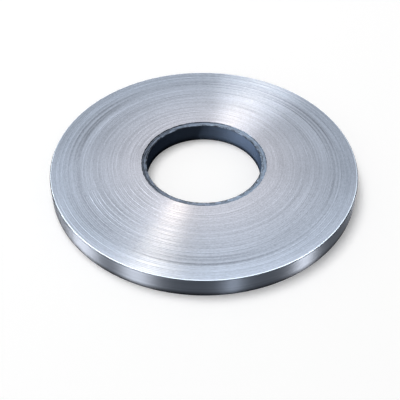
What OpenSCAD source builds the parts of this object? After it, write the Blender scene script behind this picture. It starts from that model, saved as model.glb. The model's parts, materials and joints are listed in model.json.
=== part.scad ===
// A coil of thin metal strip, wound flat on itself round an open bore and lying on its side.
// The origin is on the table, under the middle of the bore, and +Z runs up through the bore.
// The strip has one width all along. The turns next to the bore and the last ones outside have
// slipped down on to the table, and the rest of the winding stands proud of them by that slip.

/* [Coil] */
// Outside diameter of the wound coil
coil_od = 400; // [330:1:600]
// Diameter of the bore, which is the diameter of the mandrel that the strip was wound on
bore_d = 150; // [100:1:200]

/* [Strip] */
// Width of the strip, and so the height of every turn
strip_w = 25; // [10:1:60]
// Thickness of the strip
strip_t = 0.2; // [0.1:0.05:0.5]

/* [Winding] */
// Turns next to the bore that have slipped down on to the table
first_turns = 35; // [15:1:60]
// Turns at the outside that have slipped down on to the table
last_turns = 5; // [4:1:20]
// Distance that they have slipped
slip = 1.2; // [0.4:0.1:3]
// Turns in each band of the winding between them, wound before the strip wanders sideways
band_turns = 12; // [8:1:40]
// Turns that the strip takes to move from one band's level to the next
drift_turns = 2; // [1:1:3]
// Furthest that the bands wander sideways from one another
wander = 0.3; // [0.1:0.05:1]

/* [Hidden] */

nickel = [0.67, 0.70, 0.75];
roundness = 360; // facets of the preview round the coil

bore_r = bore_d / 2;
coil_r = coil_od / 2;
drift = drift_turns * strip_t;
turns = round((coil_r - bore_r) / strip_t);

// Band 0 is the one at the bore and band last_band the one at the outside
last_band = floor((turns - first_turns - last_turns) / band_turns) + 1;

// The bands wander in two waves, each given as [share of the wander, degrees in a band]
long_wave = [0.6, 23];
short_wave = [0.4, 137];

function rise(wave, band) = wave[0] * (1 + sin(wave[1] * band)) / 2;

// Height of a band's lower edges over the table
function level(band) =
    band == 0 || band == last_band ? 0
    : slip + wander * (rise(long_wave, band) + rise(short_wave, band));

// Radii between which a band keeps its level; the drift to the next band lies beyond them
function band_end(band) =
    band == last_band ? coil_r
    : band == last_band - 1 ? coil_r - last_turns * strip_t
    : bore_r + (first_turns + band * band_turns) * strip_t;
function band_start(band) = band == 0 ? bore_r : band_end(band - 1) + drift;

// One band's two corners at the given height over its level, from the bore outwards
function edges(band, height) =
    [for (r = [band_start(band), band_end(band)]) [r, level(band) + height]];

// The whole winding in section: its lower edges outwards, then its upper edges back to the bore
module winding_section() {
    polygon(concat(
        [for (band = [0 : last_band]) each edges(band, 0)],
        [for (band = [last_band : -1 : 0]) for (i = [1, 0]) edges(band, strip_w)[i]]
    ));
}

module strip_coil() {
    color(nickel)
        rotate_extrude($fn = roundness)
            winding_section();
}

strip_coil();
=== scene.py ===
import json
import math

import bpy
from mathutils import Matrix, Quaternion, Vector


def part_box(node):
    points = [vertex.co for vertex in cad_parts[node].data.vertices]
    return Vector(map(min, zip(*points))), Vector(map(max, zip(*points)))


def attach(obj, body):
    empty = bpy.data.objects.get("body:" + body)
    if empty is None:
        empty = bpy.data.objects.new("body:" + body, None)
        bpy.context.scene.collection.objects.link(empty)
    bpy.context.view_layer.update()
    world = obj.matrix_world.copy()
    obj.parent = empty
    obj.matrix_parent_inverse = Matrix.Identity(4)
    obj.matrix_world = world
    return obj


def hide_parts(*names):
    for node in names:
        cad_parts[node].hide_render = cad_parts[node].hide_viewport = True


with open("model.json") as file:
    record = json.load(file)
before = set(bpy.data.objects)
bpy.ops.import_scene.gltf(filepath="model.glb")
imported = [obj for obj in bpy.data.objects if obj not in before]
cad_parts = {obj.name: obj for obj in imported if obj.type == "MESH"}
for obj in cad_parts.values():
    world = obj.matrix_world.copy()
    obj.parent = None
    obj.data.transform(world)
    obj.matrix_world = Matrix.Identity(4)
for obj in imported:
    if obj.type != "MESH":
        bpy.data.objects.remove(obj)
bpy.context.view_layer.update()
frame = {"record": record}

# ---------------------------------------------------------------- sizes, in metres
coil_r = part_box("strip_coil")[1].x
mounts = {mount["name"]: mount for mount in frame["record"]["mounts"]}
bore_r = mounts["bore"]["dims"]["r_mm"] / 1000
strip_w = mounts["bore"]["dims"]["length_mm"] / 1000

strip_t = 0.0002
hair = strip_t / 20          # how far off a vertex may be and still count as in its place
first_turns = 35
last_turns = 5
first_r = bore_r + first_turns * strip_t
last_r = coil_r - last_turns * strip_t

# The bands between the slipped turns wander in two waves, each a share and the degrees in a band
band_turns = 12
drift = 2 * strip_t
slip = 0.0012
wander = 0.0003
long_wave = (0.6, 23)
short_wave = (0.4, 137)
half_band_dip = 0.00006      # how far a band's outer half lies under its inner half, on average

# Heights over the table of the slipped turns at the bore, in equal groups from the bore outwards
lap_heights = (0.0, 0.00030, 0.00012, 0.00045, 0.00020, 0.00034, 0.00006)

rim_chamfer = 0.0011
foot_chamfer = 0.0005
ledge_rounding = 0.0008
near_top = strip_w * 0.9

# Only what lies above torn_from is torn, and the bore is cut across at torn_depth and twice that
torn_from = strip_w * 0.95
torn_depth = 0.0012
torn_winding = 0.0004
torn_bore = 0.00025

# Where the strip starts in the bore and ends outside, in degrees from +X, as all azimuths are
start_azimuth = 262
tail_azimuth = 112

spin_steps = 240
merge_within = 1e-6
smooth_up_to = 12            # degrees between two faces that still look like one surface

# ---------------------------------------------------------------- colours and tones
white = (1, 1, 1, 1)
inner_edge_colour = (0.470, 0.485, 0.547)
outer_edge_colour = (0.318, 0.362, 0.438)
# Painted shade and painted light: the slipped turns' ends get a shaded copy and a lit copy of one
# colour, for two sides of the coil.
shaded_rubbed_colour = (0.086, 0.104, 0.138)
lit_rubbed_colour = (0.165, 0.207, 0.268)
rim_colour = (0.385, 0.450, 0.530)
# Painted shade: the strip's upright faces are the same metal as its ends but get these much darker
# colours, darkest in the bore, with a dark tint that dims their glancing reflections.
shaded_wall_colour = (0.060, 0.070, 0.088)
shaded_bore_colour = (0.015, 0.0205, 0.031)
shaded_bore_tint = (0.2, 0.25, 0.33, 1)

# Sides of the coil where the rings and their wear show most, and sides made lighter or darker by
# painted light and shade
worn_side = 90
ringed_side = 152
painted_highlight_side = 262
lit_band_side = 5
shaded_rim_side = 216

# Grey ramps, as (place, tone) stops. A place here is a share of the coil's outside radius:
# the light and dark rings on the ends, and the change from the inner to the outer edge colour
ring_tones = ((0.41, 0.50), (0.70, 0.50), (0.735, 0.42), (0.748, 0.52), (0.757, 0.38), (0.766, 0.66),
              (0.776, 0.44), (0.787, 0.85), (0.796, 0.48), (0.806, 0.78), (0.815, 0.58), (0.825, 0.02),
              (0.834, 0.52), (0.849, 0.00), (0.859, 0.60), (0.865, 0.60), (0.874, 0.08), (0.884, 0.12),
              (0.894, 0.54), (0.916, 0.72), (0.932, 0.50), (1.00, 0.50))
fade_out = ((0.41, 0.0), (0.50, 0.18), (0.65, 0.55), (0.79, 0.80), (0.93, 1.0))
# and here a share of the way across the slipped turns, on their shaded side and on their lit side, as
# painted shade and painted light
shaded_side_strips = ((0.0, 0.0), (0.07, 0.0), (0.14, 0.45), (0.24, 0.72), (0.48, 0.90), (0.58, 0.30),
               (0.72, 0.15), (0.80, 0.80), (0.87, 0.70), (0.93, 0.0), (1.0, 0.0))
lit_side_strips = ((0.0, 0.0), (0.07, 0.0), (0.15, 0.40), (0.40, 0.50), (0.55, 0.70), (0.92, 0.85),
               (1.0, 0.45))

# ---------------------------------------------------------------- studio
floor_size = 12
floor_colour = 0.9
floor_roughness = 0.9
floor_glow = 0.19
world_light = 0.34

warm = (1.0, 0.81, 0.60)
faintly_warm = (1.0, 0.92, 0.84)
plain = (1, 1, 1)

# The low lamps stand just above the table, where they light only the coil's upright side
low_lamp_height = 0.55
low_lamp_distance = 1.379
low_lamp_tall = 0.024

view_angle = 29.165
view_elevation = 43.10
view_roll = 0.58
view_distance = 5.121 * coil_r
view_shift_x = -0.00969
view_shift_y = -0.05955


def level_direction(azimuth):
    return Vector((math.cos(math.radians(azimuth)), math.sin(math.radians(azimuth)), 0))


def rise(wave, band):
    share, degrees = wave
    return share * (1 + math.sin(math.radians(degrees * band))) / 2


def band_level(band):
    """How far a band of turns stands out past the slipped turns."""
    return slip + wander * (rise(long_wave, band) + rise(short_wave, band))


# ---------------------------------------------------------------- modelling helpers
def deselect_all():
    if bpy.context.mode != "OBJECT":
        bpy.ops.object.mode_set(mode="OBJECT")
    bpy.ops.object.select_all(action="DESELECT")


def pick_vertices(piece, wanted):
    """Leaves piece in edit mode with only the vertices that wanted() says yes to selected."""
    bpy.ops.mesh.select_mode(type="VERT")
    bpy.ops.mesh.select_all(action="DESELECT")
    bpy.ops.object.mode_set(mode="OBJECT")
    for vertex in piece.data.vertices:
        vertex.select = wanted(vertex.co)
    bpy.ops.object.mode_set(mode="EDIT")


def section_plane(name, inner, outer):
    """A flat section of some turns, standing in the XZ plane from inner to outer radius."""
    deselect_all()
    middle = ((inner + outer) / 2, 0, strip_w / 2)
    bpy.ops.mesh.primitive_plane_add(size=1, location=middle, rotation=(math.radians(90), 0, 0))
    piece = bpy.context.object
    piece.name = piece.data.name = name
    piece.scale = (outer - inner, strip_w, 1)
    bpy.ops.object.transform_apply(location=True, rotation=True, scale=True)
    bpy.ops.object.mode_set(mode="EDIT")
    return piece


def cut_across(place, direction):
    bpy.ops.mesh.select_all(action="SELECT")
    bpy.ops.mesh.bisect(plane_co=place, plane_no=direction)


def raise_lands(piece, lands):
    """Cuts a flat section into lands of (inner radius, outer radius, height) that lie one drift
    apart, and raises each to its height."""
    for _, outer, _ in lands[:-1]:
        cut_across((outer, 0, 0), (1, 0, 0))
        cut_across((outer + drift, 0, 0), (1, 0, 0))
    for inner, outer, height in lands:
        pick_vertices(piece, lambda co: inner - hair < co.x < outer + hair)
        bpy.ops.transform.translate(value=(0, 0, height))


def ease_corner(piece, radius, size, segments, at_foot=False):
    """Takes the sharp upper corner of the flat section off at one radius, or the lower one."""
    def on_corner(co):
        return abs(co.x - radius) < hair and (co.z < strip_t if at_foot else co.z > near_top)

    pick_vertices(piece, on_corner)
    bpy.ops.mesh.bevel(offset=size, offset_type="OFFSET", segments=segments, affect="VERTICES")


def keep_outline():
    bpy.ops.mesh.select_all(action="SELECT")
    bpy.ops.mesh.select_mode(type="EDGE")
    bpy.ops.mesh.region_to_loop()
    bpy.ops.mesh.select_all(action="INVERT")
    bpy.ops.mesh.delete(type="EDGE_FACE")


def merge_doubles():
    bpy.ops.mesh.select_all(action="SELECT")
    bpy.ops.mesh.remove_doubles(threshold=merge_within)


def turn_section():
    """Spins the outline of a flat section round the bore's axis into a closed ring."""
    keep_outline()
    bpy.ops.mesh.select_all(action="SELECT")
    bpy.ops.mesh.spin(steps=spin_steps, angle=math.tau, center=(0, 0, 0), axis=(0, 0, 1))
    merge_doubles()


def wind_section(azimuth):
    """Spins a section in two half turns on two centres, so that its radius shrinks by one turn
    of strip all the way round and the strip's end shows as a step at the azimuth."""
    bpy.ops.mesh.select_all(action="SELECT")
    bpy.ops.transform.rotate(value=-math.radians(azimuth), orient_axis="Z", center_override=(0, 0, 0))
    for centre in (Vector((0, 0, 0)), -level_direction(azimuth) * strip_t / 2):
        bpy.ops.mesh.spin(steps=spin_steps // 2, angle=math.pi, center=centre, axis=(0, 0, 1))


def tear_edge(piece, radius, size, seed):
    """Tears the top edge at one radius a little all round, and levels all that it moved at the
    height of the highest of it."""
    def on_edge(co):
        return co.z > torn_from and math.hypot(co.x, co.y) < radius + strip_t / 4

    pick_vertices(piece, on_edge)
    height = max(vertex.co.z for vertex in piece.data.vertices if on_edge(vertex.co))
    bpy.ops.transform.vertex_random(offset=size, uniform=1, normal=0, seed=seed)
    bpy.ops.transform.resize(value=(1, 1, 0), center_override=(0, 0, height))


def close_up():
    merge_doubles()
    bpy.ops.mesh.normals_make_consistent(inside=False)
    bpy.ops.object.mode_set(mode="OBJECT")
    bpy.ops.object.shade_smooth_by_angle(angle=math.radians(smooth_up_to))


# ---------------------------------------------------------------- pieces
def winding_lands():
    """Two lands to a band, from the slipped turns at the bore to those at the outside."""
    lands = []
    bands = round((last_r - first_r) / strip_t) // band_turns
    for band in range(1, bands + 1):
        start = first_r + band_turns * (band - 1) * strip_t
        middle = start + band_turns / 2 * strip_t
        end = start + band_turns * strip_t
        dip = half_band_dip * (1 + band % 3) / 2
        lands.append((start + drift, middle, band_level(band)))
        lands.append((middle + drift, end, band_level(band) - dip))
    lands[0] = (first_r, *lands[0][1:])
    lands[-1] = (lands[-1][0], last_r, lands[-1][2])
    return lands


def make_winding():
    """The turns between the slipped ones at the bore and the last few, in bands that wander."""
    piece = section_plane("winding", first_r, last_r)
    raise_lands(piece, winding_lands())
    ease_corner(piece, last_r, rim_chamfer, segments=8)
    turn_section()
    tear_edge(piece, first_r, torn_winding, seed=4)
    close_up()
    return piece


def bore_lands(inner, outer):
    """One land to each group of the slipped turns at the bore."""
    lands = []
    step = (first_r - bore_r) / len(lap_heights)
    for lap, height in enumerate(lap_heights):
        lands.append((inner + step * lap + drift / 2, inner + step * (lap + 1) - drift / 2, height))
    lands[0] = (inner, *lands[0][1:])
    lands[-1] = (lands[-1][0], outer, lands[-1][2])
    return lands


def make_bore_turns():
    """The first turns, slipped down past the rest, each few a little higher or lower."""
    inner = bore_r + strip_t
    outer = first_r + strip_t
    piece = section_plane("bore_turns", inner, outer)
    raise_lands(piece, bore_lands(inner, outer))
    ease_corner(piece, inner, strip_t, segments=2)
    for depth in (torn_depth, 2 * torn_depth):
        cut_across((0, 0, strip_w - depth), (0, 0, 1))
    wind_section(start_azimuth)
    tear_edge(piece, inner, torn_bore, seed=9)
    close_up()
    return piece


def make_outer_turns():
    """The last turns, ended in one loose end of the strip at the back."""
    piece = section_plane("outer_turns", last_r, coil_r)
    ease_corner(piece, coil_r, foot_chamfer, segments=2, at_foot=True)
    ease_corner(piece, coil_r, ledge_rounding, segments=5)
    wind_section(tail_azimuth)
    close_up()
    return piece


# ---------------------------------------------------------------- material helpers
def new_material(name):
    material = bpy.data.materials.new(name)
    material.use_nodes = True
    tree = material.node_tree
    tree.nodes.clear()
    output = tree.nodes.new("ShaderNodeOutputMaterial")
    shader = tree.nodes.new("ShaderNodeBsdfPrincipled")
    tree.links.new(shader.outputs[0], output.inputs[0])
    return material, tree, shader


def plug(tree, value, socket):
    """A number is set on a socket, and another node's output is linked to it."""
    if isinstance(value, (int, float, tuple)):
        socket.default_value = value
    else:
        tree.links.new(value, socket)


def work_out(tree, operation, first, second=0.0):
    node = tree.nodes.new("ShaderNodeMath")
    node.operation = operation
    plug(tree, first, node.inputs[0])
    plug(tree, second, node.inputs[1])
    return node.outputs[0]


def times(tree, first, second):
    return work_out(tree, "MULTIPLY", first, second)


def swing_of(tree, pattern, strength):
    """A pattern that runs from 0 to 1, as a swing to either side of nought."""
    return times(tree, work_out(tree, "SUBTRACT", pattern, 0.5), strength)


def vector_node(tree, operation, first, second=(0.0, 0.0, 0.0)):
    node = tree.nodes.new("ShaderNodeVectorMath")
    node.operation = operation
    plug(tree, first, node.inputs[0])
    plug(tree, second, node.inputs[1])
    return node.outputs["Value"] if operation in ("LENGTH", "DOT_PRODUCT") else node.outputs[0]


def scaled(tree, vector, factor):
    node = tree.nodes.new("ShaderNodeVectorMath")
    node.operation = "SCALE"
    plug(tree, vector, node.inputs[0])
    plug(tree, factor, node.inputs["Scale"])
    return node.outputs[0]


def axes_of(tree, vector):
    split = tree.nodes.new("ShaderNodeSeparateXYZ")
    tree.links.new(vector, split.inputs[0])
    return split.outputs


def coil_place(tree):
    """Radius, outward direction and height at each point of the coil."""
    place = tree.nodes.new("ShaderNodeTexCoord").outputs["Object"]
    level_part = vector_node(tree, "MULTIPLY", place, (1.0, 1.0, 0.0))
    radius = vector_node(tree, "LENGTH", level_part)
    outward = vector_node(tree, "NORMALIZE", level_part)
    return radius, outward, axes_of(tree, place)["Z"]


def facing_side(tree, outward, azimuth):
    """1 where the coil faces the azimuth, and -1 on its far side."""
    return vector_node(tree, "DOT_PRODUCT", outward, tuple(level_direction(azimuth)))


def drawn_lines(tree, across, outward, lines, breaks, detail=3.0, roughness=0.6):
    """Noise drawn out along the strip: so many lines a metre across it, and so many breaks a turn."""
    run = scaled(tree, outward, breaks / math.tau)
    lift = tree.nodes.new("ShaderNodeCombineXYZ")
    tree.links.new(times(tree, across, float(lines)), lift.inputs["Z"])
    noise = tree.nodes.new("ShaderNodeTexNoise")
    tree.links.new(vector_node(tree, "ADD", run, lift.outputs[0]), noise.inputs["Vector"])
    noise.inputs["Scale"].default_value = 1
    noise.inputs["Detail"].default_value = detail
    noise.inputs["Roughness"].default_value = roughness
    return noise.outputs[0]


def turn_lines(tree, radius, outward):
    """One faint line for each turn of the strip."""
    return drawn_lines(tree, radius, outward, lines=1 / strip_t, breaks=9, detail=1.0)


def stretch(tree, value, old, new):
    """Maps the old range of a value on to the new one, and holds it at the new one's ends."""
    node = tree.nodes.new("ShaderNodeMapRange")
    plug(tree, value, node.inputs["Value"])
    for socket, number in zip(("From Min", "From Max", "To Min", "To Max"), (*old, *new)):
        node.inputs[socket].default_value = number
    return node.outputs["Result"]


def ramp_over(tree, value, stops):
    """A grey ramp: (place, tone) stops."""
    node = tree.nodes.new("ShaderNodeValToRGB")
    elements = node.color_ramp.elements
    while len(elements) < len(stops):
        elements.new(0.5)
    for element, (place, tone) in zip(elements, stops):
        element.position = place
        element.color = (tone, tone, tone, 1)
    tree.links.new(value, node.inputs[0])
    return node.outputs[0]


def blend_colours(tree, share, first, second):
    node = tree.nodes.new("ShaderNodeMix")
    node.data_type = "RGBA"
    plug(tree, share, node.inputs["Factor"])
    for colour, socket in ((first, node.inputs[6]), (second, node.inputs[7])):
        plug(tree, (*colour, 1.0) if isinstance(colour, tuple) else colour, socket)
    return node.outputs[2]


def tone_sum(tree, parts):
    """1 plus each (pattern, strength), where a pattern runs from 0 to 1 round 0.5."""
    total = 1.0
    for pattern, strength in parts:
        total = work_out(tree, "ADD", swing_of(tree, pattern, strength), total)
    return total


def drawn_tangent(tree, outward, stray=0.0):
    """The strip's run at each point, level and square to the radius but for what it strays."""
    along = vector_node(tree, "CROSS_PRODUCT", (0.0, 0.0, 1.0), outward)
    askew = vector_node(tree, "ADD", along, scaled(tree, outward, stray))
    return vector_node(tree, "NORMALIZE", askew)


def lay_lines(tree, shader, height, depth):
    bump = tree.nodes.new("ShaderNodeBump")
    bump.inputs["Strength"].default_value = 1
    bump.inputs["Distance"].default_value = depth
    tree.links.new(height, bump.inputs["Height"])
    tree.links.new(bump.outputs[0], shader.inputs["Normal"])


def set_drawn_metal(shader, anisotropic):
    shader.inputs["Metallic"].default_value = 1
    shader.inputs["Anisotropic"].default_value = anisotropic
    shader.inputs["Anisotropic Rotation"].default_value = 0.25


# ---------------------------------------------------------------- materials
def edge_wear(tree, radius, outward, share):
    """How far the rings show: in patches, more at the outside, and least at the front."""
    patches = drawn_lines(tree, radius, outward, lines=90, breaks=16)
    patches = stretch(tree, patches, (0.35, 0.65), (0.35, 1.35))
    outside = stretch(tree, share, (0.55, 0.85), (0.55, 1.0))
    back = stretch(tree, facing_side(tree, outward, worn_side), (-0.9, 0.0), (0.5, 1.15))
    return times(tree, times(tree, patches, outside), back)


def ring_strength(tree, outward):
    """How far the light and dark rings show, which comes and goes three times round the coil."""
    axes = axes_of(tree, outward)
    azimuth = work_out(tree, "ARCTAN2", axes["Y"], axes["X"])
    turned = work_out(tree, "SUBTRACT", azimuth, math.radians(ringed_side))
    swing = work_out(tree, "COSINE", times(tree, turned, 3.0))
    return stretch(tree, swing, (-0.1, 0.9), (0.04, 0.6))


def painted_highlight_band(tree, outward, share):
    """A painted highlight: paler towards the outside on one side of the coil."""
    side = stretch(tree, facing_side(tree, outward, painted_highlight_side), (-0.1, 1), (0, 1))
    outside = stretch(tree, share, (0.87, 0.94), (0, 0.5))
    return work_out(tree, "ADD", times(tree, side, outside), 0.5)


def make_edge_metal():
    """The ends of the turns: bright slit edges, laid in fine rings."""
    material, tree, shader = new_material("slit_edges")
    radius, outward, _ = coil_place(tree)
    share = work_out(tree, "DIVIDE", radius, coil_r)
    turns = turn_lines(tree, radius, outward)
    grain = drawn_lines(tree, radius, outward, lines=900, breaks=300, roughness=0.7)
    fine = drawn_lines(tree, radius, outward, lines=1000, breaks=4, roughness=0.7)
    rings = drawn_lines(tree, radius, outward, lines=420, breaks=5, detail=1.0)
    wide = drawn_lines(tree, radius, outward, lines=70, breaks=7, detail=2.0)
    wear = edge_wear(tree, radius, outward, share)
    ring_place = work_out(tree, "ADD", share, swing_of(tree, wide, 0.007))
    tone = tone_sum(tree, (
        (turns, 0.35),
        (grain, stretch(tree, share, (0.42, 0.75), (1.05, 0.85))),
        (fine, times(tree, wear, 1.05)),
        (rings, times(tree, wear, 0.55)),
        (ramp_over(tree, ring_place, ring_tones), ring_strength(tree, outward)),
        # painted highlight, paler towards the outside on one side
        (painted_highlight_band(tree, outward, share), 0.5),
    ))
    colour = blend_colours(tree, ramp_over(tree, share, fade_out), inner_edge_colour, outer_edge_colour)
    tree.links.new(scaled(tree, colour, tone), shader.inputs["Base Color"])
    tree.links.new(stretch(tree, fine, (0.3, 0.7), (0.305, 0.33)), shader.inputs["Roughness"])
    stray = swing_of(tree, fine, stretch(tree, share, (0.41, 1.0), (0.35, 0.1)))
    tree.links.new(drawn_tangent(tree, outward, stray), shader.inputs["Tangent"])
    lay_lines(tree, shader, tone_sum(tree, ((turns, 0.4), (fine, 1.0))), depth=0.000015)
    set_drawn_metal(shader, anisotropic=0.93)
    return material


def make_rubbed_metal():
    """The ends of the first turns, rubbed dull, streaked and mottled, with painted light that makes
    them paler on one side and painted shade that darkens the other.
    """
    material, tree, shader = new_material("rubbed_edges")
    radius, outward, _ = coil_place(tree)
    turns = turn_lines(tree, radius, outward)
    fine = drawn_lines(tree, radius, outward, lines=900, breaks=60)
    streaks = drawn_lines(tree, radius, outward, lines=450, breaks=12, detail=4.0)
    spots = drawn_lines(tree, radius, outward, lines=300, breaks=80, detail=4.0, roughness=0.7)
    spots = stretch(tree, spots, (0.40, 0.60), (0, 1))
    across = stretch(tree, radius, (bore_r, first_r), (0, 1))
    shifted = work_out(tree, "ADD", across, swing_of(tree, streaks, 0.9))
    # Painted light and shade: colour and streaks blend from the shaded copy on one side of the coil to
    # the lit copy on the other.
    lit_share = stretch(tree, facing_side(tree, outward, lit_band_side), (-0.9, 0.5), (0, 1))
    shaded_side_tone = ramp_over(tree, shifted, shaded_side_strips)
    lit_side_tone = ramp_over(tree, shifted, lit_side_strips)
    strips = blend_colours(tree, lit_share, shaded_side_tone, lit_side_tone)
    colour = blend_colours(tree, lit_share, shaded_rubbed_colour, lit_rubbed_colour)
    tone = tone_sum(tree, (
        (turns, 0.3),
        (fine, 0.8),
        (strips, 1.4),
        (spots, stretch(tree, across, (0, 0.6), (1.8, 0.5))),
    ))
    tone = work_out(tree, "MAXIMUM", tone, 0.15)
    tree.links.new(scaled(tree, colour, tone), shader.inputs["Base Color"])
    tree.links.new(stretch(tree, streaks, (0.3, 0.7), (0.66, 0.50)), shader.inputs["Roughness"])
    tree.links.new(drawn_tangent(tree, outward), shader.inputs["Tangent"])
    lay_lines(tree, shader, tone_sum(tree, ((turns, 0.4), (fine, 1.0), (strips, 1.0))), depth=0.00008)
    set_drawn_metal(shader, anisotropic=0.4)
    return material


def make_face_metal(name, colour, roughness, anisotropic, tint=white):
    """The strip's broad face, with rolling lines along it and painted shade darkening its foot."""
    material, tree, shader = new_material(name)
    _, outward, height = coil_place(tree)
    rolling = drawn_lines(tree, height, outward, lines=1500, breaks=10)
    bands = drawn_lines(tree, height, outward, lines=240, breaks=8)
    clouds = drawn_lines(tree, height, outward, lines=40, breaks=24, detail=2.0)
    # Painted shade: the colour darkens over the lowest few millimetres, where the floor's contact
    # shadow falls and is mirrored.
    painted_foot_shade = stretch(tree, height, (0.0010, 0.0080), (0, 0.5))
    tone = tone_sum(tree, ((rolling, 0.5), (bands, 0.4), (clouds, 0.15), (painted_foot_shade, 1.8)))
    gloss = stretch(tree, rolling, (0.3, 0.7), (roughness - 0.03, roughness + 0.04))
    tree.links.new(scaled(tree, colour, tone), shader.inputs["Base Color"])
    tree.links.new(gloss, shader.inputs["Roughness"])
    tree.links.new(drawn_tangent(tree, outward), shader.inputs["Tangent"])
    lay_lines(tree, shader, rolling, depth=0.00002)
    set_drawn_metal(shader, anisotropic)
    shader.inputs["Specular Tint"].default_value = tint
    return material


def make_rim_metal():
    """The outer edge of the ends, rubbed by handling, with painted shade that makes it duller on one
    side.
    """
    material, tree, shader = new_material("polished_rim")
    radius, outward, _ = coil_place(tree)
    fine = drawn_lines(tree, radius, outward, lines=1500, breaks=30)
    worn = drawn_lines(tree, radius, outward, lines=100, breaks=16)
    tone = tone_sum(tree, ((fine, 0.2), (worn, 0.2)))
    # Painted shade: the rim's colour is darkened on one side of the coil.
    painted_rim_shade = stretch(tree, facing_side(tree, outward, shaded_rim_side), (0.55, 1.0), (1.0, 0.76))
    tone = times(tree, tone, painted_rim_shade)
    tree.links.new(scaled(tree, rim_colour, tone), shader.inputs["Base Color"])
    tree.links.new(stretch(tree, worn, (0.3, 0.7), (0.66, 0.76)), shader.inputs["Roughness"])
    lay_lines(tree, shader, fine, depth=0.00001)
    shader.inputs["Metallic"].default_value = 1
    return material


# ---------------------------------------------------------------- which face has which metal
def dress(piece, metals, choose):
    """Gives each face the metal that choose() names by the face's centre and normal."""
    names = list(metals)
    for name in names:
        piece.data.materials.append(metals[name])
    for face in piece.data.polygons:
        face.material_index = names.index(choose(face.center, face.normal))


def winding_finish(centre, normal):
    radius = math.hypot(centre.x, centre.y)
    upright = abs(normal.z) < 0.3
    on_rim = radius > last_r - rim_chamfer and centre.z > strip_w
    if upright and radius < first_r + strip_t:
        return "step"
    if upright or on_rim and normal.z < 0.4:
        return "face"
    return "rim" if on_rim else "edge"


def bore_finish(centre, normal):
    return "face" if abs(normal.z) < 0.5 else "edge"


def outer_finish(centre, normal):
    return "edge" if normal.z < -0.5 else "face"


# ---------------------------------------------------------------- floor, lamps, camera
def seen_directly(tree):
    """1 for a ray from the camera, or one mirrored or let through on its way from it."""
    path = tree.nodes.new("ShaderNodeLightPath")
    seen = work_out(tree, "MAXIMUM", path.outputs["Is Camera Ray"], path.outputs["Is Glossy Ray"])
    return work_out(tree, "MAXIMUM", seen, path.outputs["Is Transmission Ray"])


def make_floor():
    deselect_all()
    bpy.ops.mesh.primitive_plane_add(size=floor_size, location=(0, 0, 0))
    floor = bpy.context.object
    floor.name = floor.data.name = "floor"
    material, tree, shader = new_material("pale_floor")
    shader.inputs["Base Color"].default_value = (floor_colour, floor_colour, floor_colour, 1)
    shader.inputs["Roughness"].default_value = floor_roughness
    shader.inputs["Specular IOR Level"].default_value = 0
    shader.inputs["Emission Color"].default_value = white
    tree.links.new(times(tree, seen_directly(tree), floor_glow), shader.inputs["Emission Strength"])
    floor.data.materials.append(material)


def make_world():
    world = bpy.data.worlds.new("studio")
    bpy.context.scene.world = world
    world.use_nodes = True
    tree = world.node_tree
    tree.nodes.clear()
    output = tree.nodes.new("ShaderNodeOutputWorld")
    sky = tree.nodes.new("ShaderNodeBackground")
    sky.inputs["Color"].default_value = white
    tree.links.new(stretch(tree, seen_directly(tree), (0, 1), (world_light, 1)), sky.inputs["Strength"])
    tree.links.new(sky.outputs[0], output.inputs[0])


def add_lamp(name, azimuth, height, distance, wide, tall, watts, in_metal=True, along=None,
             colour=plain, shape="RECTANGLE"):
    """An area lamp that looks at the coil from the given azimuth and height over the table.
    Its wide side lies level, or runs towards the azimuth in along."""
    lift = math.radians(height)
    back = level_direction(azimuth) * math.cos(lift) + Vector((0, 0, math.sin(lift)))
    side = level_direction(azimuth + 90 if along is None else along)
    side = (side - back * side.dot(back)).normalized()
    data = bpy.data.lights.new(name, "AREA")
    data.shape = shape
    data.size = wide
    data.size_y = tall
    data.energy = watts
    data.color = colour
    lamp = bpy.data.objects.new(name, data)
    bpy.context.scene.collection.objects.link(lamp)
    lamp.location = back * distance
    lamp.rotation_euler = Matrix((side, back.cross(side), back)).transposed().to_euler()
    lamp.visible_camera = False
    lamp.visible_glossy = in_metal
    lamp.visible_diffuse = not in_metal


def add_low_lamp(name, azimuth, wide, watts, colour=faintly_warm):
    """A thin lamp just above the table, for a highlight on the coil's upright side."""
    add_lamp(name, azimuth, low_lamp_height, low_lamp_distance, wide, low_lamp_tall, watts,
             colour=colour, shape="ELLIPSE")


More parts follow.
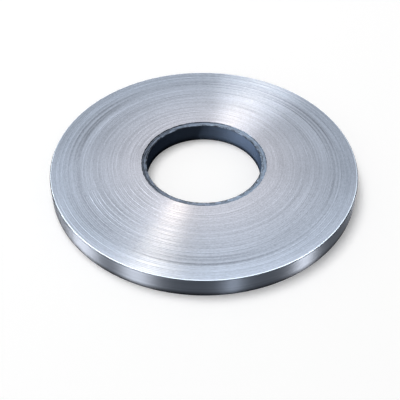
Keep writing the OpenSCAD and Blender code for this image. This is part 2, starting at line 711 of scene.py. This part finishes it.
def make_lamps():
    """One soft lamp for the floor, and the rest for highlights in the metal."""
    # Degrees round and degrees up, then distance, width and height in metres, and watts
    add_lamp("soft_key", 140, 70, 6.0, 3.3, 3.3, 232, in_metal=False)
    add_lamp("long_lamp", 150, 73, 6.0, 4.0, 0.75, 54, along=66.6, colour=warm)
    add_lamp("right_softbox", 0, 70, 2.5, 2.0, 2.0, 15.4)
    add_lamp("right_window", 30, 40, 2.5, 1.2, 1.2, 4.6)
    add_lamp("back_lamp", 80, 12, 2.5, 0.6, 0.6, 7.8)
    add_lamp("left_window", 120, 40, 2.5, 0.6, 0.6, 1.0)
    add_lamp("left_softbox", 210, 55, 2.5, 2.0, 2.0, 26)
    # Degrees round, then width in metres, and watts
    add_low_lamp("low_lamp_back_left", 175, 0.96, 14)
    add_low_lamp("low_lamp_left", 195, 0.52, 44)
    add_low_lamp("low_lamp_front_left", 231.5, 0.46, 41)
    add_low_lamp("low_lamp_front", 287, 0.04, 9.5, colour=plain)
    add_low_lamp("low_lamp_right", 331, 0.25, 34)
    add_low_lamp("low_lamp_back_right", 21, 0.28, 6.2)
    add_lamp("bore_lamp", 150, 15.5, 0.0467, 0.09, 0.018, 0.80, shape="ELLIPSE")


def make_camera():
    data = bpy.data.cameras.new("camera")
    data.sensor_width = 36
    data.angle = math.radians(view_angle)
    data.shift_x = view_shift_x
    data.shift_y = view_shift_y
    camera = bpy.data.objects.new("camera", data)
    bpy.context.scene.collection.objects.link(camera)
    lift = math.radians(view_elevation)
    camera.location = (0, -view_distance * math.cos(lift), view_distance * math.sin(lift))
    aim = Vector(camera.location).to_track_quat("Z", "Y")
    camera.rotation_euler = (aim @ Quaternion((0, 0, 1), math.radians(view_roll))).to_euler()
    bpy.context.scene.camera = camera


# ---------------------------------------------------------------- build
edge_metal = make_edge_metal()
rubbed_metal = make_rubbed_metal()
rim_metal = make_rim_metal()
# Painted shade: the upright faces take the darkened colours above, not the ends' bright metal colour.
wall_metal = make_face_metal("strip_face", shaded_wall_colour, roughness=0.48, anisotropic=0.95)
bore_metal = make_face_metal("strip_face_inside", shaded_bore_colour, roughness=0.60, anisotropic=0.5,
                             tint=shaded_bore_tint)

winding = make_winding()
winding_metals = {"edge": edge_metal, "face": wall_metal, "step": rubbed_metal, "rim": rim_metal}
dress(winding, winding_metals, winding_finish)
bore_turns = make_bore_turns()
dress(bore_turns, {"edge": rubbed_metal, "face": bore_metal}, bore_finish)
outer_turns = make_outer_turns()
dress(outer_turns, {"edge": edge_metal, "face": wall_metal}, outer_finish)
for piece in (winding, bore_turns, outer_turns):
    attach(piece, "root")
    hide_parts("strip_coil")

make_floor()
make_world()
make_camera()
bpy.context.scene.view_settings.view_transform = "Standard"
make_lamps()
